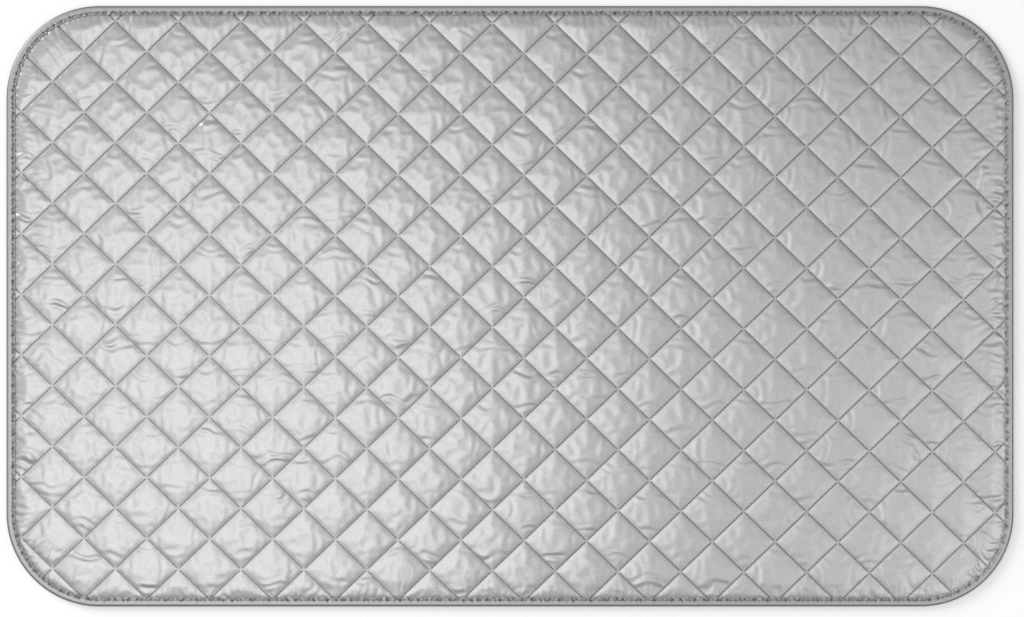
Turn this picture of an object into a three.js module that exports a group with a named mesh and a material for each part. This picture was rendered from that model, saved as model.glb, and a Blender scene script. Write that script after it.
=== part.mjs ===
// A quilted ironing pad. A silver top cover and a back cover lie over a felt wadding, two sets of
// diagonal seams quilt the three layers into diamonds, and a folded tape is sewn round the edge.
// Millimetres, +Z up. The origin is the middle of the underside, and +X runs along the pad.
import * as THREE from "three";
import { mergeVertices } from "three/addons/utils/BufferGeometryUtils.js";

// Overall outline
const PAD_LENGTH = 800;
const PAD_WIDTH = 477;
const CORNER_RADIUS = 74;
const CORNER_STEPS = 8; // flats in each rounded corner

// Layers, each a loose sheet until the seams hold it
const COVER_THICKNESS = 0.4; // either cover along a seam
const WADDING_THICKNESS = 1.2; // the felt as the seams and the binding squeeze it
const LAYER_GAP = 0.3;
const TOP_PUFF = 2.2; // crown of a whole diamond over the seams, on the ironing side
const BACK_CLEARANCE = 0.1; // the back's crowns stop this far above the surface under the pad

// Quilting
const DIAMOND_LENGTH = 49.9; // corner to corner along X
const DIAMOND_WIDTH = 48.3; // corner to corner along Y
const CROSSING_X = 10.9; // a crossing of two seams near the pad's middle
const CROSSING_Y = 7.2;
const QUILT_SLANT = -0.0059; // the cloth is cut a little off the line of its quilting: Y per X

// Edge binding, a tape folded over the edge and sewn through
const BINDING_WIDTH = 7;
const BINDING_THICKNESS = 0.7; // the tape with its turned-in edge
const BINDING_SEAM_INSET = 5.6; // from the pad's edge to the row of stitches
const BINDING_CLEARANCE = 0.5; // from the tape's inner edge to the first puff and the seams' ends
const FOLD_STEPS = 6; // flats round the fold

// Sewing thread
const THREAD_DIAMETER = 0.6;
const THREAD_GAP = 0.2; // from a thread to the cloth or thread that it lies on
const THREAD_SIDES = 6;
const SHORTEST_SEAM = 20; // a corner that is cut off shorter than this has no seam of its own

// Heights that follow from the layers, upwards from the underside
const BACK_SEAM = BINDING_THICKNESS + LAYER_GAP; // lower face of the back cover, at a seam
const BACK_PUFF = BACK_SEAM - BACK_CLEARANCE;
const WADDING_BOTTOM = BACK_SEAM + COVER_THICKNESS + LAYER_GAP;
const TOP_SEAM = WADDING_BOTTOM + WADDING_THICKNESS + LAYER_GAP + COVER_THICKNESS; // upper face, at a seam
const BINDING_HEIGHT = TOP_SEAM + LAYER_GAP + BINDING_THICKNESS;

// Insets from the pad's edge
const FOLD_RADIUS = BINDING_HEIGHT / 2;
const RAW_EDGE_INSET = FOLD_RADIUS + LAYER_GAP; // the layers end where the tape's fold begins
const QUILT_INSET = BINDING_WIDTH + BINDING_CLEARANCE;

const SILVER_CLOTH = new THREE.MeshStandardMaterial({ color: 0xc3c4c6, roughness: 0.45, metalness: 0.6 });
const BACKING_CLOTH = new THREE.MeshStandardMaterial({ color: 0xb9babc, roughness: 0.7, metalness: 0.2 });
const WHITE_FELT = new THREE.MeshStandardMaterial({ color: 0xe8e6e0, roughness: 1, metalness: 0 });
const GREY_TAPE = new THREE.MeshStandardMaterial({ color: 0xa3a4a7, roughness: 0.6, metalness: 0.1 });
const GREY_THREAD = new THREE.MeshStandardMaterial({ color: 0x7c7d80, roughness: 0.7, metalness: 0 });

// The outline is a disc of the corner's radius moved round this core rectangle.
const CORE = new THREE.Box2(
  new THREE.Vector2(CORNER_RADIUS - PAD_LENGTH / 2, CORNER_RADIUS - PAD_WIDTH / 2),
  new THREE.Vector2(PAD_LENGTH / 2 - CORNER_RADIUS, PAD_WIDTH / 2 - CORNER_RADIUS),
);

// The pad's outline moved in by inset, anticlockwise.
function outline(inset) {
  const { min, max } = CORE;
  const corners = [[max.x, max.y], [min.x, max.y], [min.x, min.y], [max.x, min.y]];
  return corners.flatMap(([x, y], quarter) =>
    Array.from({ length: CORNER_STEPS + 1 }, (_, step) => {
      const angle = ((quarter + step / CORNER_STEPS) * Math.PI) / 2;
      const arm = new THREE.Vector2(CORNER_RADIUS - inset, 0).rotateAround(new THREE.Vector2(), angle);
      return arm.add(new THREE.Vector2(x, y));
    }),
  );
}

// A point of the outline at one inset, moved square to the edge to another inset.
function moveInset(point, from, to) {
  const core = CORE.clampPoint(point, new THREE.Vector2());
  return point.clone().sub(core).multiplyScalar((CORNER_RADIUS - to) / (CORNER_RADIUS - from)).add(core);
}

// Which side of the line from a to b a point lies on: positive on the left.
function side(a, b, point) {
  return b.clone().sub(a).cross(point.clone().sub(a));
}

// The part of a convex polygon, or of a line of two points, inside a convex anticlockwise boundary.
function clip(polygon, boundary) {
  return boundary.reduce((kept, a, k) => {
    const b = boundary[(k + 1) % boundary.length];
    return kept.flatMap((p, n) => {
      const q = kept[(n + 1) % kept.length];
      const atP = side(a, b, p);
      const atQ = side(a, b, q);
      const here = atP >= 0 ? [p] : [];
      return atP * atQ < 0 ? [...here, p.clone().lerp(q, atP / (atP - atQ))] : here;
    });
  }, polygon);
}

const atHeight = (points, z) => points.map((p) => new THREE.Vector3(p.x, p.y, z));

// Triangles of the band from one closed loop to the next, for loops of as many points.
function band(from, to) {
  return from.flatMap((a, k) => {
    const next = (k + 1) % from.length;
    return [a, to[k], to[next], a, to[next], from[next]];
  });
}

// A closed ring from loops of equal length, the last joined to the first.
function ring(loops) {
  return new THREE.BufferGeometry().setFromPoints(
    loops.flatMap((loop, k) => band(loop, loops[(k + 1) % loops.length])),
  );
}

// The crossing of two seams, i half diamonds along X and j along Y, where i + j is even.
function crossing(i, j) {
  const x = CROSSING_X + (i * DIAMOND_LENGTH) / 2;
  return new THREE.Vector2(x, CROSSING_Y + (j * DIAMOND_WIDTH) / 2 + QUILT_SLANT * x);
}

const HALF_DIAMONDS = Math.ceil((PAD_LENGTH + PAD_WIDTH) / Math.min(DIAMOND_LENGTH, DIAMOND_WIDTH));

// Corners of the diamond whose middle is i, j, anticlockwise.
function diamond(i, j) {
  return [crossing(i + 1, j), crossing(i, j + 1), crossing(i - 1, j), crossing(i, j - 1)];
}

// How far a polygon's middle is from its nearest side.
function depth(polygon, middle) {
  return Math.min(
    ...polygon.map((a, k) => {
      const b = polygon[(k + 1) % polygon.length];
      return side(a, b, middle) / a.distanceTo(b);
    }),
  );
}

function middleOf(polygon) {
  return polygon.reduce((sum, p) => sum.add(p), new THREE.Vector2()).divideScalar(polygon.length);
}

const WHOLE_DEPTH = depth(diamond(1, 0), middleOf(diamond(1, 0)));

// The quilted face: every diamond rises from its seams to a crown, and those that the binding cuts
// rise less. The seams lie at height 0.
function quiltedFace(puff) {
  const border = outline(QUILT_INSET);
  const triangles = [];
  for (let i = -HALF_DIAMONDS; i <= HALF_DIAMONDS; i++) {
    for (let j = -HALF_DIAMONDS; j <= HALF_DIAMONDS; j++) {
      if ((i + j) % 2 === 0) continue;
      const patch = clip(diamond(i, j), border);
      if (patch.length < 3) continue;
      const middle = middleOf(patch);
      const rise = (puff * depth(patch, middle)) / WHOLE_DEPTH;
      const crown = new THREE.Vector3(middle.x, middle.y, rise);
      const rim = atHeight(patch, 0);
      rim.forEach((p, k) => triangles.push(crown, p, rim[(k + 1) % rim.length]));
    }
  }
  return triangles;
}

// The loop of points along the free edge of a face, in the direction of the face's triangles.
function freeEdge(triangles) {
  const face = mergeVertices(new THREE.BufferGeometry().setFromPoints(triangles), 1e-3);
  const corners = face.index.array;
  const edges = new Set();
  for (let t = 0; t < corners.length; t += 3) {
    for (let e = 0; e < 3; e++) edges.add(corners[t + e] + "," + corners[t + ((e + 1) % 3)]);
  }
  const next = new Map();
  for (const edge of edges) {
    const [a, b] = edge.split(",");
    if (!edges.has(b + "," + a)) next.set(a, b);
  }
  const loop = [];
  const position = face.getAttribute("position");
  for (let at = next.keys().next().value; loop.length < next.size; at = next.get(at)) {
    loop.push(new THREE.Vector3().fromBufferAttribute(position, Number(at)));
  }
  return loop;
}

// A cover: the quilted face, the flat margin that the binding holds, the cut edge and the flat
// side towards the wadding.
function coverGeometry(puff) {
  const face = quiltedFace(puff);
  const border = freeEdge(face);
  const cutEdge = border.map((p) => moveInset(new THREE.Vector2(p.x, p.y), QUILT_INSET, RAW_EDGE_INSET));
  const upper = atHeight(cutEdge, 0);
  const lower = atHeight(cutEdge, -COVER_THICKNESS);
  const flats = THREE.ShapeUtils.triangulateShape(cutEdge, []);
  const inside = flats.flatMap(([a, b, c]) => [lower[a], lower[c], lower[b]]);
  const triangles = [...face, ...band(border, upper), ...band(upper, lower), ...inside];
  return new THREE.BufferGeometry().setFromPoints(triangles);
}

function waddingGeometry() {
  const shape = new THREE.Shape(outline(RAW_EDGE_INSET));
  return new THREE.ExtrudeGeometry(shape, { depth: WADDING_THICKNESS, bevelEnabled: false });
}

// Half a turn round the fold of the tape, from the top to the underside, as loops round the pad.
function foldLoops(radius) {
  return Array.from({ length: FOLD_STEPS + 1 }, (_, step) => {
    const turn = (step / FOLD_STEPS) * Math.PI;
    return atHeight(outline(FOLD_RADIUS - radius * Math.sin(turn)), FOLD_RADIUS + radius * Math.cos(turn));
  });
}

// The tape: over the top, round the fold, back underneath, and returning along its inner face.
function bindingGeometry() {
  const innerEdge = outline(BINDING_WIDTH);
  const innerRadius = FOLD_RADIUS - BINDING_THICKNESS;
  return ring([
    atHeight(innerEdge, BINDING_HEIGHT),
    ...foldLoops(FOLD_RADIUS),
    atHeight(innerEdge, 0),
    atHeight(innerEdge, BINDING_THICKNESS),
    ...foldLoops(innerRadius).reverse(),
    atHeight(innerEdge, BINDING_HEIGHT - BINDING_THICKNESS),
  ]);
}

// The row of stitches round the binding, a thread that lies on the tape.
function bindingSeamGeometry() {
  const radius = THREAD_DIAMETER / 2;
  const loops = Array.from({ length: THREAD_SIDES }, (_, step) => {
    const turn = (step / THREAD_SIDES) * 2 * Math.PI;
    return atHeight(outline(BINDING_SEAM_INSET - radius * Math.sin(turn)), radius * Math.cos(turn));
  });
  return ring(loops);
}

const pad = new THREE.Group();

function addPiece(name, geometry, material, height) {
  const piece = new THREE.Mesh(geometry, material);
  piece.name = name;
  piece.position.z = height;
  pad.add(piece);
  return piece;
}

addPiece("top_cover", coverGeometry(TOP_PUFF), SILVER_CLOTH, TOP_SEAM);
addPiece("wadding", waddingGeometry(), WHITE_FELT, WADDING_BOTTOM);
addPiece("back_cover", coverGeometry(BACK_PUFF), BACKING_CLOTH, BACK_SEAM).scale.z = -1;
addPiece("edge_binding", bindingGeometry(), GREY_TAPE, 0);
const BINDING_THREAD = BINDING_HEIGHT + THREAD_GAP + THREAD_DIAMETER / 2;
addPiece("binding_seam", bindingSeamGeometry(), GREY_THREAD, BINDING_THREAD);

// One set of parallel quilting seams. Each is a length of thread in the valley between the puffs,
// and the falling set is sewn across the top of the rising one.
function addQuiltSeams(setName, climb, height) {
  const border = outline(QUILT_INSET);
  let count = 0;
  for (let row = -HALF_DIAMONDS; row <= HALF_DIAMONDS; row++) {
    const from = crossing(row - HALF_DIAMONDS, climb * (-row - HALF_DIAMONDS));
    const to = crossing(row + HALF_DIAMONDS, climb * (HALF_DIAMONDS - row));
    const inside = clip([from, to], border);
    if (inside.length < 2) continue;
    const ends = inside.sort((a, b) => a.x - b.x);
    const start = ends[0];
    const run = ends[ends.length - 1].clone().sub(start);
    if (run.length() < SHORTEST_SEAM) continue;
    count += 1;
    const radius = THREAD_DIAMETER / 2;
    const thread = new THREE.CylinderGeometry(radius, radius, run.length(), THREAD_SIDES);
    const name = "quilt_seam_" + setName + "_" + String(count).padStart(2, "0");
    const seam = addPiece(name, thread.rotateZ(-Math.PI / 2), GREY_THREAD, height);
    seam.position.x = start.x + run.x / 2;
    seam.position.y = start.y + run.y / 2;
    seam.rotation.z = run.angle();
  }
}

const LOWER_THREAD = TOP_SEAM + THREAD_GAP + THREAD_DIAMETER / 2;
addQuiltSeams("rising", 1, LOWER_THREAD);
addQuiltSeams("falling", -1, LOWER_THREAD + THREAD_DIAMETER + THREAD_GAP);

export default pad;
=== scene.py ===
"""A quilted ironing pad with a bound edge, lying flat and seen from straight above."""

import bpy
import numpy as np
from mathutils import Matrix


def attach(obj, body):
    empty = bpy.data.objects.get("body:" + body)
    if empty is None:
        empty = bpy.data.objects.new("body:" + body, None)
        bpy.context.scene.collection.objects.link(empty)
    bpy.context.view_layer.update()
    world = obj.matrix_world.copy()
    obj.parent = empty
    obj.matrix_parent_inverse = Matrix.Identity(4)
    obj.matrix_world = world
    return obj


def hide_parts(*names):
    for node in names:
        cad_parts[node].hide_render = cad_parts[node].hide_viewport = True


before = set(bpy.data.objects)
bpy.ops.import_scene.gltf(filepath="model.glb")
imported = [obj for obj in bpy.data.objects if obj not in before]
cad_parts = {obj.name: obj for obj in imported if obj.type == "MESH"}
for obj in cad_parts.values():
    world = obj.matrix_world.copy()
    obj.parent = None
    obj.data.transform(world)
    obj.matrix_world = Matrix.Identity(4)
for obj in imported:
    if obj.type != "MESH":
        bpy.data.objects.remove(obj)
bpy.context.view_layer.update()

# Back cover: plain grey cotton, the underside of the pad. It is laid down first, takes the same
# diagonal quilting as the top, and the table presses its low puffs flat.
MM = 0.001
PAD_SIZE = np.array([800, 477]) * MM
CORNER_RADIUS = 74 * MM
BINDING_WIDTH = 7 * MM
HALF_DIAMOND = np.array([24.95, 24.15]) * MM  # half the diagonals of a quilted diamond
CROSSING = np.array([10.9, 7.2]) * MM  # two seams cross here, near the middle of the pad
QUILT_SLANT = -0.0059  # the quilting runs a little askew of the pad: Y per X
BACK_SEAM_HEIGHT = 1.0 * MM
BACK_PUFF = 0.85 * MM
BACK_STEPS = 12  # quads along half a diamond
BACK_CRUMPLE = 0.15  # how much the height of the puffs changes from place to place
PRESSED_SHARE = 0.9  # the table flattens a puff above this share of its height
BLUNT_PUFF = 0.4  # exponent of a puff with steep sides and a wide crown
EDGE_RISE = 12 * MM  # the quilting rises to its full height over this width beside the binding
RAW_EDGE_INSET = 3 * MM  # the layers are cut off here, inside the fold of the binding


def edge_inset(x, y):
    """How far a point lies inside the pad's outline."""
    beyond_x = np.abs(x) - (PAD_SIZE[0] / 2 - CORNER_RADIUS)
    beyond_y = np.abs(y) - (PAD_SIZE[1] / 2 - CORNER_RADIUS)
    outside = np.hypot(np.maximum(beyond_x, 0), np.maximum(beyond_y, 0))
    return CORNER_RADIUS - outside - np.minimum(np.maximum(beyond_x, beyond_y), 0)


def seam_phase(x, y):
    """Where a point lies between the rising seams and between the falling ones: whole on a seam."""
    across = (x - CROSSING[0]) / HALF_DIAMOND[0]
    along = (y - CROSSING[1] - QUILT_SLANT * x) / HALF_DIAMOND[1]
    return (across - along) / 2, (across + along) / 2


def puff_share(x, y, steepness):
    """Height of the quilting, 0 on the seams and under the binding and 1 on a diamond's crown."""
    share = np.ones_like(x)
    for phase in seam_phase(x, y):
        between = phase - np.floor(phase)
        share *= np.clip(4 * between * (1 - between), 0, 1) ** steepness
    from_binding = np.clip(edge_inset(x, y) - BINDING_WIDTH, 0, EDGE_RISE) / EDGE_RISE
    return share * np.sin(from_binding * np.pi / 2) ** (2 * steepness)


def quilt_grid(steps):
    """Points and quads of a flat cloth, with points along every seam and quads split along it."""
    pitch = HALF_DIAMOND / steps
    reach = np.ceil((PAD_SIZE / 2 + 2 * HALF_DIAMOND) / pitch).astype(int)
    columns, rows = (np.arange(-count, count) for count in reach)
    i, j = np.meshgrid(columns, rows, indexing="ij")
    x = CROSSING[0] + i * pitch[0]
    y = CROSSING[1] + j * pitch[1] + QUILT_SLANT * x
    inset = edge_inset(x, y)
    corners = [inset[:-1, :-1], inset[1:, :-1], inset[1:, 1:], inset[:-1, 1:]]
    kept = np.min(corners, axis=0) > RAW_EDGE_INSET
    index = np.arange(x.size).reshape(x.shape)
    rising = np.stack([index[:-1, :-1], index[1:, :-1], index[1:, 1:], index[:-1, 1:]], -1)
    to_rising = np.abs((i - j)[:-1, :-1] % (2 * steps) - steps)
    to_falling = np.abs((i + j + 1)[:-1, :-1] % (2 * steps) - steps)
    falling = np.roll(rising, -1, axis=-1)
    quads = np.where((to_falling > to_rising)[..., None], falling, rising)[kept]
    used, quads = np.unique(quads, return_inverse=True)
    return x.ravel()[used], y.ravel()[used], quads.reshape(-1, 4)


def drift(x, y, rng, length):
    """A smooth random field of about -1 to 1 whose hills are about a length apart."""
    waves = 24
    field = np.zeros_like(x)
    for _ in range(waves):
        turn = rng.uniform(0, 2 * np.pi)
        wave = 2 * np.pi / (length * rng.uniform(0.7, 1.6))
        field += np.cos(wave * (x * np.cos(turn) + y * np.sin(turn)) + rng.uniform(0, 2 * np.pi))
    return field / np.sqrt(waves)


def add_piece(name, points, faces, material):
    """A smooth mesh object at the origin."""
    mesh = bpy.data.meshes.new(name)
    mesh.from_pydata(np.asarray(points).tolist(), [], np.asarray(faces).tolist())
    mesh.shade_smooth()
    mesh.materials.append(material)
    piece = bpy.data.objects.new(name, mesh)
    bpy.context.scene.collection.objects.link(piece)
    return piece


def srgb(code):
    """The linear colour of an sRGB hex value."""
    channels = [int(code[k : k + 2], 16) / 255 for k in (1, 3, 5)]
    linear = [c / 12.92 if c <= 0.04045 else ((c + 0.055) / 1.055) ** 2.4 for c in channels]
    return (*linear, 1)


def add_node(tree, kind, settings=None, values=None, links=None):
    """Add a node with its settings, the values of its inputs and the outputs linked to them."""
    node = tree.nodes.new(kind)
    for name, value in (settings or {}).items():
        setattr(node, name, value)
    for name, value in (values or {}).items():
        node.inputs[name].default_value = value
    for name, output in (links or {}).items():
        tree.links.new(output, node.inputs[name])
    return node


def new_material(name):
    """An empty material, its node tree and the shader that it ends in."""
    material = bpy.data.materials.new(name)
    material.use_nodes = True
    tree = material.node_tree
    return material, tree, tree.nodes["Principled BSDF"]


def add_weave(tree, thread_mm):
    """Height of a plain weave: warp and weft cross over each other in turn."""
    place = add_node(tree, "ShaderNodeTexCoord").outputs["Object"]
    scale = 2 * np.pi / (thread_mm * MM) / 20
    weave = add_node(tree, "ShaderNodeMath", {"operation": "MULTIPLY"})
    for socket, direction in enumerate("XY"):
        settings = {"wave_type": "BANDS", "wave_profile": "SIN", "bands_direction": direction}
        yarns = add_node(tree, "ShaderNodeTexWave", settings, {"Scale": scale}, {"Vector": place})
        tree.links.new(yarns.outputs["Fac"], weave.inputs[socket])
    return weave.outputs[0]


def add_noise(tree, size, detail):
    """Noise whose grains are about a size across, in the object's own space."""
    place = add_node(tree, "ShaderNodeTexCoord").outputs["Object"]
    grain = {"Scale": 1 / size, "Detail": detail}
    return add_node(tree, "ShaderNodeTexNoise", {}, grain, {"Vector": place}).outputs["Fac"]


def add_mix(tree, share, first, second):
    """A colour between two sRGB hex values, by a share from 0 to 1."""
    mix = add_node(tree, "ShaderNodeMix", {"data_type": "RGBA"}, links={"Factor": share})
    mix.inputs[6].default_value = srgb(first)
    mix.inputs[7].default_value = srgb(second)
    return mix


def add_bump(tree, height, strength, depth):
    """A bump of the surface by a height from 0 to 1."""
    relief = {"Strength": strength, "Distance": depth}
    return add_node(tree, "ShaderNodeBump", {}, relief, {"Height": height})


def backing_cotton():
    """Plain woven cotton, dyed grey and unglazed, so it is matt with a slight weave."""
    material, tree, shader = new_material("backing_cotton_plain_weave")
    colour = add_mix(tree, add_noise(tree, 40 * MM, 2), "#9a9ba0", "#a9aaad")
    tree.links.new(colour.outputs[2], shader.inputs["Base Color"])
    weave = add_bump(tree, add_weave(tree, 0.6), 0.25, 0.1 * MM)
    tree.links.new(weave.outputs[0], shader.inputs["Normal"])
    shader.inputs["Roughness"].default_value = 0.85
    return material


x, y, quads = quilt_grid(BACK_STEPS)
flattened = np.minimum(puff_share(x, y, BLUNT_PUFF), PRESSED_SHARE) / PRESSED_SHARE
uneven = drift(x, y, np.random.default_rng(3), 12 * MM)
crumple = np.clip(1 - BACK_CRUMPLE + BACK_CRUMPLE * uneven, 0.5, 1.1)
points = np.stack([x, y, BACK_SEAM_HEIGHT - BACK_PUFF * flattened * crumple], -1)
back_cover = add_piece("back_cover_cloth", points, quads[:, ::-1], backing_cotton())
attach(back_cover, "root")
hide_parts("back_cover")

# Wadding: a sheet of needled polyester felt between the covers. The seams squeeze it into
# pillows, and it is cut off flush with the covers inside the binding.
WADDING_FLOOR = 1.7 * MM
WADDING_SQUEEZED = 1.2 * MM
WADDING_LOFT = 0.6 * MM
WADDING_STEPS = 6


def needled_felt():
    """Needled polyester felt: white, fibrous and quite matt."""
    material, tree, shader = new_material("polyester_felt_needled")
    fibres = add_bump(tree, add_noise(tree, 1.5 * MM, 6), 0.5, 0.3 * MM)
    tree.links.new(fibres.outputs[0], shader.inputs["Normal"])
    shader.inputs["Base Color"].default_value = srgb("#ebe9e3")
    shader.inputs["Roughness"].default_value = 1
    return material


def close_sheet(upper, lower, quads):
    """Points and faces of a solid between two sheets that share their quads."""
    edges = np.concatenate([quads[:, [k, (k + 1) % 4]] for k in range(4)])
    pairs = np.sort(edges, axis=1)
    _, first, uses = np.unique(pairs, axis=0, return_index=True, return_counts=True)
    rim = edges[first[uses == 1]]
    under = len(upper)
    walls = np.stack([rim[:, 1], rim[:, 0], rim[:, 0] + under, rim[:, 1] + under], -1)
    return np.concatenate([upper, lower]), np.concatenate([quads, quads[:, ::-1] + under, walls])


x, y, quads = quilt_grid(WADDING_STEPS)
loft = WADDING_LOFT * puff_share(x, y, BLUNT_PUFF)
upper = np.stack([x, y, WADDING_FLOOR + WADDING_SQUEEZED + loft], -1)
lower = np.stack([x, y, np.full_like(x, WADDING_FLOOR)], -1)
wadding = add_piece("wadding_felt", *close_sheet(upper, lower, quads), needled_felt())
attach(wadding, "root")
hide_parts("wadding")

# Top cover: cotton with an aluminised finish, the ironing face. It is quilted down over the
# wadding, and the seams gather it so that it crumples round the corners of every diamond.
TOP_SEAM_HEIGHT = 3.6 * MM
FLANK_HEIGHT = 0.65 * MM  # the steep rise beside a seam
FLANK_WIDTH = 1.1 * MM
BINDING_FLANK = 1.5 * MM  # the gentler rise beside the binding is this wide
CROWN_HEIGHT = 1.05 * MM  # the low dome inside the flanks
PUFF_LIMIT = 2.2 * MM  # no fold of the cloth stands higher over its seams
CLOTH_STEPS = 16
GATHER_LEAST = 0.001  # spare cloth, as a share of its length
GATHER_MOST = 0.006
GATHER_AT_BINDING = 14 * MM  # how far from the binding spare cloth lies
GATHER_AT_CROSSING = 13 * MM
CREASE_DEPTH = 0.8 * MM  # the deepest creases before the cloth settles
CREASE_SPACING = 7 * MM
CREASE_FADE = 4 * MM  # the creases die out this close to a seam
NEAREST_CREASE = 7 * MM  # from the corner of its diamond
CREASE_SCATTER = 9 * MM
CREASE_BAND = 4.5 * MM
SIDE_CREASES = 0.55  # share of the depth at the left and right corners of a diamond
SIDE_CREASES_GAIN = 0.4  # what the right end of the pad adds to that share
PUCKER_DEPTH = 0.3 * MM
PUCKER_SPACING = 5.5 * MM
WRINKLE_DEPTH = 0.8 * MM
WRINKLE_SPACING = 7 * MM
WRINKLE_WIDTH = 1.5 * MM
WRINKLE_REACH = 26 * MM
LONG_SIDE_WRINKLES = 0.45  # share of the depth and the reach along the two long sides
EDGE_FADE = 1.5 * MM  # puckers and wrinkles die out this close to a seam
SEAM_LINE = 0.5 * MM  # half the width of the painted shade along a seam's valley
SIM_SCALE = 10  # the solver is made for cloth of this many times the size
SIM_FRAMES = 10
WEIGHT_LEVELS = 50  # steps of the weights that hold the cloth


def seam_distance(x, y):
    """How far a point lies from the nearest rising seam and from the nearest falling one."""
    spacing = 2 * HALF_DIAMOND[0] * HALF_DIAMOND[1] / np.hypot(*HALF_DIAMOND)
    return [np.abs(phase - np.round(phase)) * spacing for phase in seam_phase(x, y)]


def quilted_height(x, y):
    """Height of the quilted cloth over its seams: steep flanks round a low dome."""
    flank = 1 - np.exp(-np.maximum(edge_inset(x, y) - BINDING_WIDTH, 0) / BINDING_FLANK)
    for distance in seam_distance(x, y):
        flank *= 1 - np.exp(-distance / FLANK_WIDTH)
    return FLANK_HEIGHT * flank + CROWN_HEIGHT * puff_share(x, y, 1)


def gather_share(x, y):
    """How much spare cloth lies at a point: most at the left and top, and along the binding."""
    across = 0.5 - x / PAD_SIZE[0]
    along = 0.5 + y / PAD_SIZE[1]
    near_binding = np.clip(1 - (edge_inset(x, y) - BINDING_WIDTH) / GATHER_AT_BINDING, 0, 1)
    near_crossing = np.exp(-((np.hypot(*seam_distance(x, y)) / GATHER_AT_CROSSING) ** 2))
    spare = 0.16 + 0.34 * across + 0.45 * along
    return np.clip(spare * (0.3 + near_crossing) + 0.6 * near_binding, 0, 1)


def corner_creases(x, y, rng):
    """Curved creases round the corners of every diamond, where crossing seams gather the cloth."""
    rising, falling = (np.floor(phase).astype(int) for phase in seam_phase(x, y))
    middle_x = CROSSING[0] + (rising + falling + 1) * HALF_DIAMOND[0]
    middle_y = CROSSING[1] + (falling - rising) * HALF_DIAMOND[1] + QUILT_SLANT * x
    cells = 64
    chance = rng.uniform(size=(cells, cells, 4, 5))[rising % cells, falling % cells]
    wobble = drift(x, y, rng, 22 * MM) * 2.0 * MM
    side_share = SIDE_CREASES + SIDE_CREASES_GAIN * np.clip(2 * x / PAD_SIZE[0], 0, 1)
    creases = np.zeros_like(x)
    for corner, toward in enumerate([(1, 0), (-1, 0), (0, 1), (0, -1)]):
        depth, spacing, start, centre, middle = np.moveaxis(chance[:, corner], -1, 0)
        depth *= 1 if toward[0] == 0 else side_share
        out = 1 + 1.2 * centre
        from_x = x - middle_x - toward[0] * HALF_DIAMOND[0] * out
        from_y = y - middle_y - toward[1] * HALF_DIAMOND[1] * out
        radius = np.hypot(from_x, from_y) - (out - 1) * HALF_DIAMOND[0] + wobble
        from_band = radius - NEAREST_CREASE - CREASE_SCATTER * middle
        near = np.exp(-((from_band / CREASE_BAND) ** 2))
        broken = np.clip(0.6 + 0.6 * drift(x, y, rng, 18 * MM), 0, 1.2)
        waves = np.cos(2 * np.pi * (radius / (CREASE_SPACING * (0.8 + 0.6 * spacing)) + start))
        creases += depth**2 * near * broken * waves
    return CREASE_DEPTH * creases


def edge_walk(x, y):
    """How far along the pad's edge a point near it lies, from the middle of the right side."""
    core_x, core_y = PAD_SIZE / 2 - CORNER_RADIUS
    foot_x = np.clip(x, -core_x, core_x)
    foot_y = np.clip(y, -core_y, core_y)
    turn = np.arctan2(y - foot_y, x - foot_x) % (2 * np.pi)
    side = np.round(turn / (np.pi / 2)).astype(int) % 4
    right_and_top = [foot_y, core_y + core_x - foot_x]
    left_and_bottom = [2 * core_x + 2 * core_y - foot_y, 3 * core_x + 3 * core_y + foot_x]
    return CORNER_RADIUS * turn + np.choose(side, right_and_top + left_and_bottom)


def edge_puckers(x, y, rng):
    """Short creases square to the binding, whose seam draws the cloth together."""
    inside = np.maximum(edge_inset(x, y) - BINDING_WIDTH, 0)
    reach = (8 + 5 * drift(x, y, rng, 35 * MM)) * MM
    fade = np.exp(-np.clip(inside / np.maximum(reach, 3 * MM), 0, 9))
    phase = 2 * np.pi * edge_walk(x, y) / PUCKER_SPACING + 2.5 * drift(x, y, rng, 20 * MM)
    patchy = np.clip(0.7 + 0.5 * drift(x, y, rng, 40 * MM), 0, 1.5)
    return PUCKER_DEPTH * fade * np.cos(phase) * patchy


def edge_wrinkles(x, y, rng):
    """Sharp wrinkles that run in from the edge, longest and deepest at the two short sides."""
    core_x, core_y = PAD_SIZE / 2 - CORNER_RADIUS
    past_x = np.maximum(np.abs(x) - core_x, 0)
    past_y = np.maximum(np.abs(y) - core_y, 0)
    sideways = past_x / np.hypot(past_x, past_y).clip(1 * MM)
    beside = np.clip(1.4 * sideways, LONG_SIDE_WRINKLES, 1)
    inside = np.maximum(edge_inset(x, y) - BINDING_WIDTH, 0)
    reach = beside * (WRINKLE_REACH + 12 * MM * drift(x, y, rng, 25 * MM)).clip(6 * MM)
    along = edge_walk(x, y) / WRINKLE_SPACING + 0.45 * drift(x, y, rng, 24 * MM)
    from_valley = np.abs(along - np.round(along)) * WRINKLE_SPACING
    valley = np.exp(-((from_valley / WRINKLE_WIDTH) ** 2))
    patchy = np.clip(0.6 + 0.7 * drift(x, y, rng, 30 * MM), 0, 1.4)
    depth = WRINKLE_DEPTH * beside * (1 + 0.6 * x / PAD_SIZE[0])
    return depth * np.exp(-((inside / reach) ** 2)) * (0.35 - valley) * patchy


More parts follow.
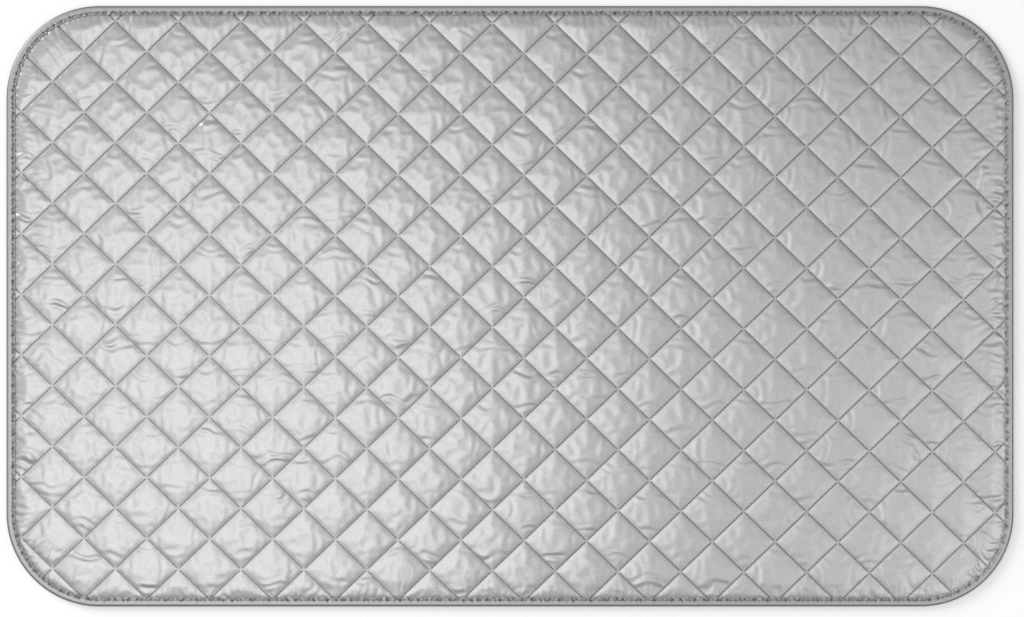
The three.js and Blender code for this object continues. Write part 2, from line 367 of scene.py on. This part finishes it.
def settle_cloth(points, quads, hold_share, gather):
    """Let gathered cloth crumple on a springy wadding, held fast where its share is 1."""
    scene = bpy.context.scene
    mesh = bpy.data.meshes.new("loose_cloth")
    mesh.from_pydata((points * SIM_SCALE).tolist(), [], quads.tolist())
    cloth = bpy.data.objects.new("loose_cloth", mesh)
    scene.collection.objects.link(cloth)
    for name, weights in (("hold", hold_share), ("taut", 1 - gather)):
        group = cloth.vertex_groups.new(name=name)
        level = np.round(weights * WEIGHT_LEVELS).astype(int)
        for step in np.unique(level):
            group.add(np.nonzero(level == step)[0].tolist(), step / WEIGHT_LEVELS, "REPLACE")
    modifier = cloth.modifiers.new("Cloth", "CLOTH")
    settings = modifier.settings
    settings.quality = 5
    settings.mass = 0.1
    settings.tension_stiffness = 15
    settings.compression_stiffness = 15
    settings.shear_stiffness = 5
    settings.bending_stiffness = 4
    settings.effector_weights.gravity = 0
    settings.vertex_group_mass = "hold"
    settings.pin_stiffness = 20
    settings.vertex_group_shrink = "taut"
    settings.shrink_min = -GATHER_MOST
    settings.shrink_max = -GATHER_LEAST
    modifier.collision_settings.use_collision = False
    modifier.point_cache.frame_end = SIM_FRAMES
    for frame_number in range(1, SIM_FRAMES + 1):
        scene.frame_set(frame_number)
    settled = cloth.evaluated_get(bpy.context.evaluated_depsgraph_get()).to_mesh()
    place = np.empty(len(points) * 3)
    settled.vertices.foreach_get("co", place)
    scene.frame_set(1)
    bpy.data.objects.remove(cloth)
    bpy.data.meshes.remove(mesh)
    return place.reshape(-1, 3) / SIM_SCALE


def aluminised_cotton():
    """Cotton with a sprayed aluminium finish: a satin grey metal gleam over a fine weave."""
    material, tree, shader = new_material("cotton_aluminised_satin")
    flakes = add_mix(tree, add_noise(tree, 1.2 * MM, 5), "#bbbbbd", "#dfdfe0")
    # Painted shade: a point attribute darkens the base colour along the seam valleys, standing in
    # for the shade there.
    painted_shade = add_node(tree, "ShaderNodeAttribute", {"attribute_name": "painted_shade"})
    painted_shade_colour = add_mix(tree, painted_shade.outputs["Fac"], "#bbbbbd", "#636467")
    tree.links.new(flakes.outputs[2], painted_shade_colour.inputs[6])
    tree.links.new(painted_shade_colour.outputs[2], shader.inputs["Base Color"])
    weave = add_bump(tree, add_weave(tree, 0.5), 0.08, 0.1 * MM)
    crinkle = add_bump(tree, add_noise(tree, 3 * MM, 3), 0.15, 0.3 * MM)
    tree.links.new(weave.outputs[0], crinkle.inputs["Normal"])
    tree.links.new(crinkle.outputs[0], shader.inputs["Normal"])
    shader.inputs["Metallic"].default_value = 0.75
    shader.inputs["Roughness"].default_value = 0.36
    return material


x, y, quads = quilt_grid(CLOTH_STEPS)
rng = np.random.default_rng(7)
inside = np.maximum(edge_inset(x, y) - BINDING_WIDTH, 0)
to_seam = np.minimum(np.min(seam_distance(x, y), axis=0), inside)
crumple = corner_creases(x, y, rng) * np.clip(to_seam / CREASE_FADE, 0, 1)
edge_crumple = edge_puckers(x, y, rng) + edge_wrinkles(x, y, rng)
crumple += edge_crumple * np.clip(to_seam / EDGE_FADE, 0, 1)
points = np.stack([x, y, quilted_height(x, y) + crumple], -1)
hold_share = np.where(to_seam < 0.01 * MM, 1, 0.08 + 0.5 * np.exp(-to_seam / (1.5 * MM)))
points = settle_cloth(points, quads, hold_share, gather_share(x, y))
squeezed = 0.5 * MM * np.clip((BINDING_WIDTH - edge_inset(x, y)) / (1.2 * MM), 0, 1)
points[:, 2] = np.clip(points[:, 2], 0, PUFF_LIMIT) + TOP_SEAM_HEIGHT - squeezed
top_cover = add_piece("top_cover_cloth", points, quads, aluminised_cotton())
# Painted shade along the seam valleys, as a point attribute. It is left out where two seams cross,
# so the crossings show lighter.
painted_shade = top_cover.data.attributes.new("painted_shade", "FLOAT", "POINT")
on_seam = np.min(seam_distance(x, y), axis=0) < SEAM_LINE
off_crossing = np.max(seam_distance(x, y), axis=0) > SEAM_LINE
painted_shade.data.foreach_set("value", (on_seam & off_crossing).astype(float))
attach(top_cover, "root")
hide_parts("top_cover")

# Quilting seams: two sets of straight rows of lockstitch in grey polyester thread, sewn through
# all three layers. The needle thread shows on the top and the bobbin thread on the back.
STITCH_PITCH = 2.8 * MM
STITCH_LENGTH = 1.95 * MM
THREAD_THICKNESS = 0.5 * MM
SHORTEST_SEAM = 20 * MM
NEEDLE_LIFT = 0.2 * MM  # the needle thread lies this far above the sewn cloth
BOBBIN_DROP = 0.15 * MM
FARTHEST_ROW = 30  # rows to each side of the middle that are tried


def polyester_thread():
    """Spun polyester thread: two plies twisted together, with a soft gleam."""
    material, tree, shader = new_material("polyester_thread_twisted")
    place = add_node(tree, "ShaderNodeTexCoord").outputs["Object"]
    twist = add_node(
        tree,
        "ShaderNodeTexWave",
        {"bands_direction": "DIAGONAL"},
        {"Scale": 2 * np.pi / (0.8 * MM) / 20},
        {"Vector": place},
    )
    plies = add_bump(tree, twist.outputs["Fac"], 0.4, 0.1 * MM)
    tree.links.new(plies.outputs[0], shader.inputs["Normal"])
    shader.inputs["Base Color"].default_value = srgb("#b2b3b7")
    shader.inputs["Roughness"].default_value = 0.6
    return material


def stitch_tree(material):
    """Geometry nodes that lay stitches end to end along every line of a mesh."""
    tree = bpy.data.node_groups.new("stitch_row", "GeometryNodeTree")
    tree.interface.new_socket("Lines", in_out="INPUT", socket_type="NodeSocketGeometry")
    for name in ("Pitch", "Length", "Thickness"):
        tree.interface.new_socket(name, in_out="INPUT", socket_type="NodeSocketFloat")
    tree.interface.new_socket("Stitches", in_out="OUTPUT", socket_type="NodeSocketGeometry")
    given = add_node(tree, "NodeGroupInput").outputs
    curve = add_node(tree, "GeometryNodeMeshToCurve", links={"Mesh": given["Lines"]})
    spaced = add_node(
        tree,
        "GeometryNodeResampleCurve",
        {"mode": "LENGTH"},
        links={"Curve": curve.outputs[0], "Length": given["Pitch"]},
    )
    tangent = add_node(tree, "GeometryNodeInputTangent")
    turn = add_node(tree, "FunctionNodeAlignRotationToVector", {"axis": "X"})
    tree.links.new(tangent.outputs[0], turn.inputs["Vector"])
    shape = {"Segments": 6, "Rings": 3, "Radius": 0.5}
    bead = add_node(tree, "GeometryNodeMeshUVSphere", values=shape)
    size = add_node(
        tree,
        "ShaderNodeCombineXYZ",
        links={"X": given["Length"], "Y": given["Thickness"], "Z": given["Thickness"]},
    )
    laid = add_node(
        tree,
        "GeometryNodeInstanceOnPoints",
        links={
            "Points": spaced.outputs[0],
            "Instance": bead.outputs[0],
            "Rotation": turn.outputs[0],
            "Scale": size.outputs[0],
        },
    )
    lean = add_node(
        tree,
        "FunctionNodeRandomValue",
        {"data_type": "FLOAT_VECTOR"},
        {"Min": (0, 0, -0.09), "Max": (0, 0, 0.09), "Seed": 5},
    )
    leant = add_node(
        tree,
        "GeometryNodeRotateInstances",
        links={"Instances": laid.outputs[0], "Rotation": lean.outputs["Value"]},
    )
    real = add_node(tree, "GeometryNodeRealizeInstances", links={"Geometry": leant.outputs[0]})
    smooth = add_node(tree, "GeometryNodeSetShadeSmooth", links={"Geometry": real.outputs[0]})
    shaded = add_node(tree, "GeometryNodeSetMaterial", values={"Material": material})
    tree.links.new(smooth.outputs[0], shaded.inputs["Geometry"])
    add_node(tree, "NodeGroupOutput", links={"Stitches": shaded.outputs[0]})
    return tree


def sew(name, lines, tree, pitch, length, thickness):
    """A plain mesh of the stitches along lines of points; a closed line repeats its first point."""
    points = np.concatenate(lines)
    ends = np.cumsum([len(line) for line in lines])
    pairs = np.stack([np.arange(len(points) - 1), np.arange(1, len(points))], -1)
    edges = np.delete(pairs, ends[:-1] - 1, axis=0)
    path = bpy.data.meshes.new(name)
    path.from_pydata(points.tolist(), edges.tolist(), [])
    piece = bpy.data.objects.new(name, path)
    bpy.context.scene.collection.objects.link(piece)
    modifier = piece.modifiers.new("Stitches", "NODES")
    modifier.node_group = tree
    sizes = {"Pitch": pitch, "Length": length, "Thickness": thickness}
    for socket in tree.interface.items_tree:
        if socket.name in sizes:
            modifier[socket.identifier] = sizes[socket.name]
    sewn = piece.evaluated_get(bpy.context.evaluated_depsgraph_get())
    piece.data = bpy.data.meshes.new_from_object(sewn)
    piece.modifiers.clear()
    piece.data.name = name
    return piece


def quilt_lines(height):
    """The ends of every quilting seam, where it runs under the binding."""
    lines = []
    travel = np.linspace(-FARTHEST_ROW, FARTHEST_ROW, 30001)
    for climb in (1, -1):
        for row in range(-FARTHEST_ROW, FARTHEST_ROW + 1):
            across = travel + row
            along = climb * (travel - row)
            x = CROSSING[0] + across * HALF_DIAMOND[0]
            y = CROSSING[1] + along * HALF_DIAMOND[1] + QUILT_SLANT * x
            inside = np.nonzero(edge_inset(x, y) > BINDING_WIDTH)[0]
            if len(inside) == 0:
                continue
            ends = inside[[0, -1]]
            line = np.stack([x[ends], y[ends], np.full(2, height)], -1)
            if np.linalg.norm(line[1] - line[0]) > SHORTEST_SEAM:
                lines.append(line)
    return lines


stitches = stitch_tree(polyester_thread())
seam_nodes = [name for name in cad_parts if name.startswith("quilt_seam")]
needle_rows = quilt_lines(TOP_SEAM_HEIGHT + NEEDLE_LIFT)
quilt_stitch = (STITCH_PITCH, STITCH_LENGTH, THREAD_THICKNESS)
quilting = sew("quilting_needle_thread", needle_rows, stitches, *quilt_stitch)
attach(quilting, "root")
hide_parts(*seam_nodes)
bobbin_rows = quilt_lines(BACK_SEAM_HEIGHT - BOBBIN_DROP)
bobbin = sew("quilting_bobbin_thread", bobbin_rows, stitches, *quilt_stitch)
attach(bobbin, "root")

# Edge binding: a grey woven tape, its edges turned in, folded over the raw edge of the layers.
# The seam through it pulls a dimple at every stitch, dents the tape and puckers its inner edge.
BINDING_HEIGHT = 4.6 * MM
TAPE_THICKNESS = 0.7 * MM
SEAM_INSET = 5.6 * MM
BINDING_PITCH = 3.6 * MM
BINDING_STEP = 0.95 * MM  # between two rings of the tape's mesh
GROOVE_DEPTH = 0.75 * MM
GROOVE_WIDTH = 0.75 * MM
DENT_DEPTH = 0.14 * MM  # small dents in the tape outside its seam
DENT_LINE = 1.4 * MM
DENT_WIDTH = 0.8 * MM
FRILL_HEIGHT = 0.3 * MM
FRILL_DROP = 0.35 * MM
FRILL_SHIFT = 0.5 * MM
GROOVE_SHADE_WIDTH = 1.2 * MM  # the painted shade along the seam's groove
GROOVE_SHADE_SHIFT = 0.3 * MM
GROOVE_SHADE_WANDER = 0.5 * MM
RIM_SHADE_WIDTH = 0.8 * MM  # the painted shade on the rim of the fold


def woven_tape():
    """Aluminised cotton tape, duller than the cover, with painted shade along its stitched groove
    and on the rim of its fold.
    """
    material, tree, shader = new_material("cotton_tape_aluminised")
    # Painted shade: a point attribute darkens the base colour along the stitched groove and on the
    # rim of the fold.
    painted_shade = add_node(tree, "ShaderNodeAttribute", {"attribute_name": "painted_shade"})
    painted_shade_colour = add_mix(tree, painted_shade.outputs["Fac"], "#bbbbbd", "#636467")
    tree.links.new(painted_shade_colour.outputs[2], shader.inputs["Base Color"])
    weave = add_bump(tree, add_weave(tree, 0.6), 0.2, 0.1 * MM)
    tree.links.new(weave.outputs[0], shader.inputs["Normal"])
    shader.inputs["Metallic"].default_value = 0.75
    shader.inputs["Roughness"].default_value = 0.4
    return material


def outline_walk(step):
    """Points of the core rectangle and outward directions, at equal steps round the pad's edge."""
    core = PAD_SIZE / 2 - CORNER_RADIUS
    sides = [2 * core[1], 2 * core[0]] * 2
    arc = CORNER_RADIUS * np.pi / 2
    total = sum(sides) + 4 * arc
    walked = np.arange(0, total, total / np.ceil(total / step))
    corner = np.array([[1, -1], [1, 1], [-1, 1], [-1, -1]]) * core
    foot = np.empty((len(walked), 2))
    turn = np.empty(len(walked))
    start = 0.0
    for k, side in enumerate(sides):
        along = np.clip((walked - start) / side, 0, 1)[:, None]
        bend = np.clip((walked - start - side) / arc, 0, 1)
        here = walked >= start
        foot[here] = (corner[k] + (corner[(k + 1) % 4] - corner[k]) * along)[here]
        turn[here] = (k + bend[here]) * np.pi / 2
        start += side + arc
    return walked, total, foot, np.stack([np.cos(turn), np.sin(turn)], -1)


def wander(walked, total, seed, waves):
    """A smooth random value from about -1 to 1 that closes on itself round the edge."""
    rng = np.random.default_rng(seed)
    count = np.arange(waves // 3, waves)
    phase = rng.uniform(0, 2 * np.pi, len(count))
    parts = np.cos(2 * np.pi * np.outer(walked, count) / total + phase)
    return parts.sum(axis=1) / np.sqrt(len(count))


def binding_section():
    """The tape's section as insets and heights, outside first and back along its inner face."""
    fold = np.linspace(0, np.pi, 11)
    radius = BINDING_HEIGHT / 2
    inner = radius - TAPE_THICKNESS
    flat = np.array([7.0, 6.6, 6.2, 5.8, 5.4, 5.0, 4.6, 4.1, 3.4, 2.8]) * MM
    round_out = np.abs(np.sin(fold)) ** 0.8
    round_up = np.sign(np.cos(fold)) * np.abs(np.cos(fold)) ** 0.8
    inset = [flat, radius - radius * round_out, flat[::-1]]
    top = np.full_like(flat, BINDING_HEIGHT)
    height = [top, radius + radius * round_up, np.zeros_like(flat)]
    inset += [[BINDING_WIDTH], radius - inner * np.sin(fold[::-2]), [BINDING_WIDTH]]
    height += [[TAPE_THICKNESS], radius + inner * np.cos(fold[::-2])]
    height += [[BINDING_HEIGHT - TAPE_THICKNESS]]
    return np.concatenate(inset), np.concatenate(height)


walked, total, foot, outward = outline_walk(BINDING_STEP)
inset, height = binding_section()
upper = height > BINDING_HEIGHT / 2
stitch = np.cos(2 * np.pi * np.round(total / BINDING_PITCH) * walked / total)
groove = np.exp(-(((inset - SEAM_INSET) / GROOVE_WIDTH) ** 2)) * np.where(upper, -1, 1)
frill = np.clip((inset - SEAM_INSET) / (BINDING_WIDTH - SEAM_INSET), 0, 1) * upper
pull = np.clip(0.75 + 0.25 * stitch + 0.25 * wander(walked, total, 11, 500), 0.3, 1.2)
rise = np.outer(pull, groove) * GROOVE_DEPTH
rise += np.outer(wander(walked, total, 12, 700), frill) * FRILL_HEIGHT - frill * FRILL_DROP
dents = np.exp(-(((inset - SEAM_INSET + DENT_LINE) / DENT_WIDTH) ** 2)) * upper
rise += np.outer(wander(walked, total, 16, 900), dents) * DENT_DEPTH
shift = np.outer(wander(walked, total, 13, 600), frill) * FRILL_SHIFT
reach = CORNER_RADIUS - (inset + shift)
rings = np.empty((len(walked), len(inset), 3))
rings[..., :2] = foot[:, None, :] + outward[:, None, :] * reach[..., None]
rings[..., 2] = height + rise
index = np.arange(rings.shape[0] * rings.shape[1]).reshape(rings.shape[:2])
ahead = np.roll(index, -1, axis=0)
faces = np.stack([index, np.roll(index, -1, axis=1), np.roll(ahead, -1, axis=1), ahead], -1)
binding = add_piece("edge_binding_tape", rings.reshape(-1, 3), faces.reshape(-1, 4), woven_tape())
painted_shade = binding.data.attributes.new("painted_shade", "FLOAT", "POINT")
# Painted shade: dark on the outer rim of the fold, and in a wandering band along the stitched
# groove that is deepest where the stitches pull hardest.
rim = np.clip(1.7 - inset / RIM_SHADE_WIDTH, 0, 1)
groove_shade_line = SEAM_INSET - GROOVE_SHADE_SHIFT + GROOVE_SHADE_WANDER * wander(walked, total, 15, 900)
groove_shade = np.exp(-(((inset - groove_shade_line[:, None]) / GROOVE_SHADE_WIDTH) ** 2))
groove_shade *= np.clip(pull * (0.8 + 0.4 * wander(walked, total, 14, 500)), 0, 1.2)[:, None]
painted_shade.data.foreach_set("value", np.clip(groove_shade + rim, 0, 1).ravel())
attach(binding, "root")
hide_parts("edge_binding")

# Binding seam: one row of lockstitch round the whole edge, through the tape and the layers
# inside it, in the same thread as the quilting.
BINDING_STITCH = (BINDING_PITCH, 2.0 * MM, 0.5 * MM)  # pitch, length and thickness
THREAD_SINK = 0.45 * MM  # the stitches lie this deep in the groove


def binding_line(height):
    """The closed line of the binding seam."""
    _, _, foot, outward = outline_walk(2.0 * MM)
    line = foot + outward * (CORNER_RADIUS - SEAM_INSET)
    line = np.concatenate([line, line[:1]])
    return np.column_stack([line, np.full(len(line), height)])


seam_rows = [binding_line(BINDING_HEIGHT - THREAD_SINK), binding_line(THREAD_SINK)]
binding_seam = sew("binding_thread", seam_rows, stitches, *BINDING_STITCH)
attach(binding_seam, "root")
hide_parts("binding_seam")

# Stage: a plain white floor under soft studio light, with the camera straight above the pad.
# The floor shows white to the camera and still takes the pad's shadow.
FRAME_WIDTH = 813.6 * MM
CAMERA_HEIGHT = 3.0
SENSOR_MM = 36
CAMERA_SHIFT = np.array([1.6, -1.8]) * MM  # the pad lies a little off the middle of the picture
FLOOR_REACH = 4
FLOOR_DROP = 0.02 * MM
FLOOR_GLOW = 0.3


def white_floor():
    """Painted white board: part of its light to the camera is its own, so it stays white."""
    material, tree, shader = new_material("white_painted_board")
    shader.inputs["Base Color"].default_value = srgb("#f2f2f2")
    shader.inputs["Roughness"].default_value = 0.9
    seen = add_node(tree, "ShaderNodeLightPath").outputs
    direct = add_node(tree, "ShaderNodeMath", {"operation": "MAXIMUM"})
    tree.links.new(seen["Is Camera Ray"], direct.inputs[0])
    tree.links.new(seen["Is Glossy Ray"], direct.inputs[1])
    share = add_node(tree, "ShaderNodeMath", {"operation": "MULTIPLY"})
    tree.links.new(direct.outputs[0], share.inputs[0])
    share.inputs[1].default_value = FLOOR_GLOW
    shader.inputs["Emission Color"].default_value = (1, 1, 1, 1)
    tree.links.new(share.outputs[0], shader.inputs["Emission Strength"])
    return material


floor_corners = np.array([[-1, -1], [1, -1], [1, 1], [-1, 1]]) * FLOOR_REACH
floor_points = np.column_stack([floor_corners, np.full(4, -FLOOR_DROP)])
floor = add_piece("floor", floor_points, [(0, 1, 2, 3)], white_floor())


def add_lamp(name, place, target, size, power):
    """A square soft lamp aimed at a point."""
    lamp = bpy.data.lights.new(name, "AREA")
    lamp.size = size
    lamp.energy = power
    holder = bpy.data.objects.new(name, lamp)
    holder.location = place
    aim = np.subtract(target, place)
    tilt = np.arccos(-aim[2] / np.linalg.norm(aim))
    holder.rotation_euler = (tilt, 0, np.arctan2(-aim[0], aim[1]))
    bpy.context.scene.collection.objects.link(holder)


add_lamp("key_lamp", (-0.42, -0.15, 1.0), (-0.46, -0.15, 0), 0.8, 1.9)
add_lamp("fill_lamp", (0.95, -0.35, 1.1), (1.6, -0.6, 0), 1.0, 3.2)
add_lamp("rim_lamp", (-5.6, 3.9, 3.0), (0, 0, 0), 3.4, 320)
add_lamp("ceiling_lamp", (0, 0, 3.5), (0, 0, 0), 3.0, 12.5)
world = bpy.data.worlds.new("studio")
bpy.context.scene.world = world
world.use_nodes = True
world.node_tree.nodes["Background"].inputs["Color"].default_value = (1, 1, 1, 1)
world.node_tree.nodes["Background"].inputs["Strength"].default_value = 0.32

lens = bpy.data.cameras.new("camera")
lens.sensor_width = SENSOR_MM
lens.lens = SENSOR_MM * (CAMERA_HEIGHT - BINDING_HEIGHT / 2) / FRAME_WIDTH
camera = bpy.data.objects.new("camera", lens)
camera.location = (*CAMERA_SHIFT, CAMERA_HEIGHT)
bpy.context.scene.collection.objects.link(camera)
bpy.context.scene.camera = camera
bpy.context.scene.view_settings.view_transform = "Standard"
